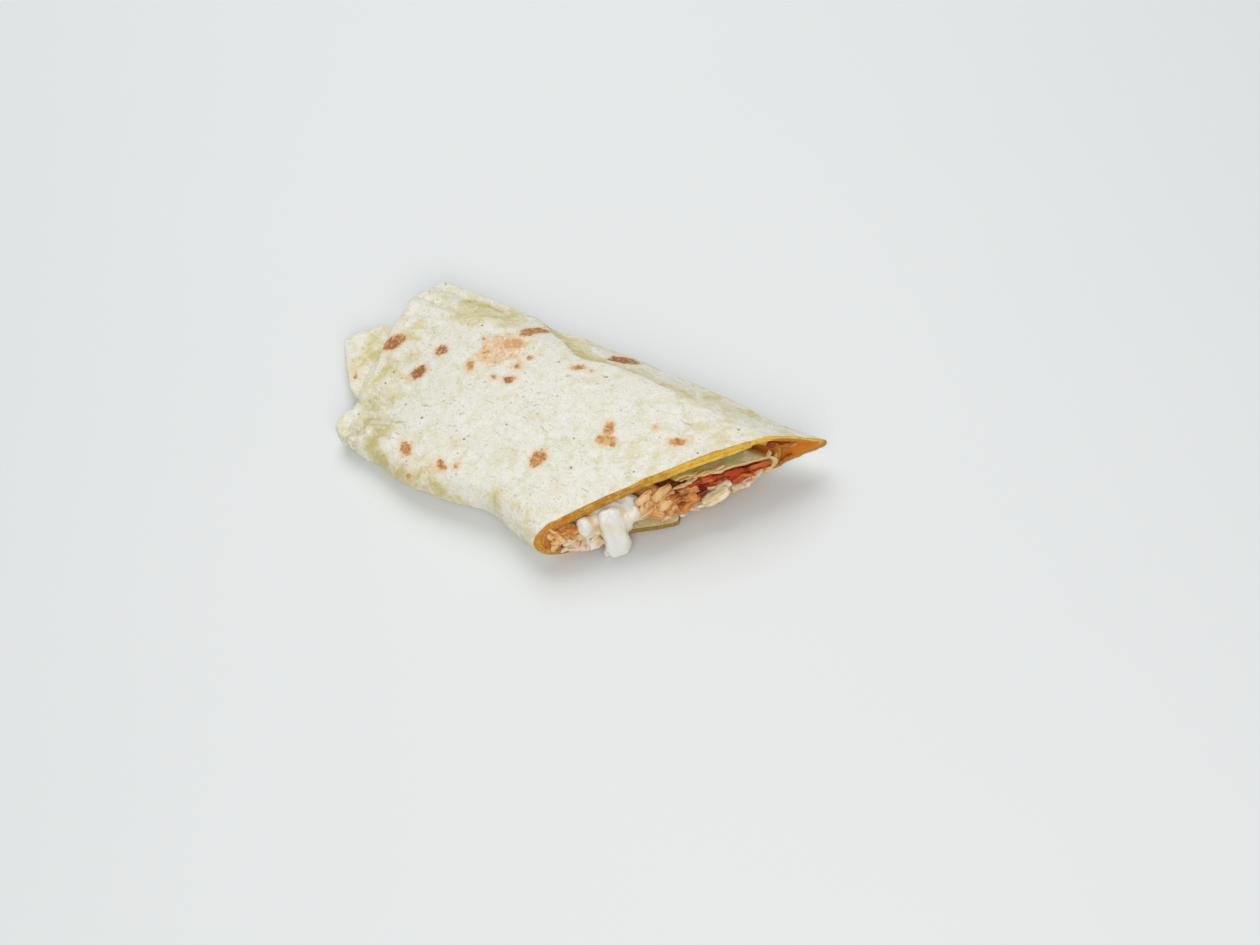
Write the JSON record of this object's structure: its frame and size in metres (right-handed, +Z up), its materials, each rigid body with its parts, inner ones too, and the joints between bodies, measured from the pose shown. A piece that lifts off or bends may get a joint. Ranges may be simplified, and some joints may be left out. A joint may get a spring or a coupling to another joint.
{
  "type": "wrap half",
  "caption": "Half of a rolled flour-tortilla wrap, cut slantwise, with one end tucked in and a packed filling of rice, chicken, cream, pepper and onion at the cut",
  "frame": {"origin": "middle of the bounding box in plan, at the height of the flat underside that the half rests on", "axes": "+X runs along the roll from the tucked end to the slanted knife cut, +Y points to the long side that ends in the sharp tip, +Z up"},
  "size_m": [0.1829, 0.0847, 0.0261],
  "materials": {
    "tortilla": "soft griddled wheat-flour flatbread, matte, pale cream with olive translucent patches and brown toast marks",
    "rice": "cooked rice stained by the sauce, moist",
    "sour_cream": "thick sour cream, glossy white",
    "chicken": "shredded cooked chicken in sauce, moist",
    "red_pepper": "soft fried red pepper in sauce, glossy",
    "onion": "pale fried onion, translucent, moist"
  },
  "bodies": {
    "root": {"tortilla": "tortilla", "rice": "rice", "sour_cream": "sour_cream", "chicken_1": "chicken", "chicken_2": "chicken", "chicken_3": "chicken", "red_pepper_1": "red_pepper", "red_pepper_2": "red_pepper", "red_pepper_3": "red_pepper", "onion_1": "onion", "onion_2": "onion", "onion_3": "onion"}
  },
  "joints": []
}
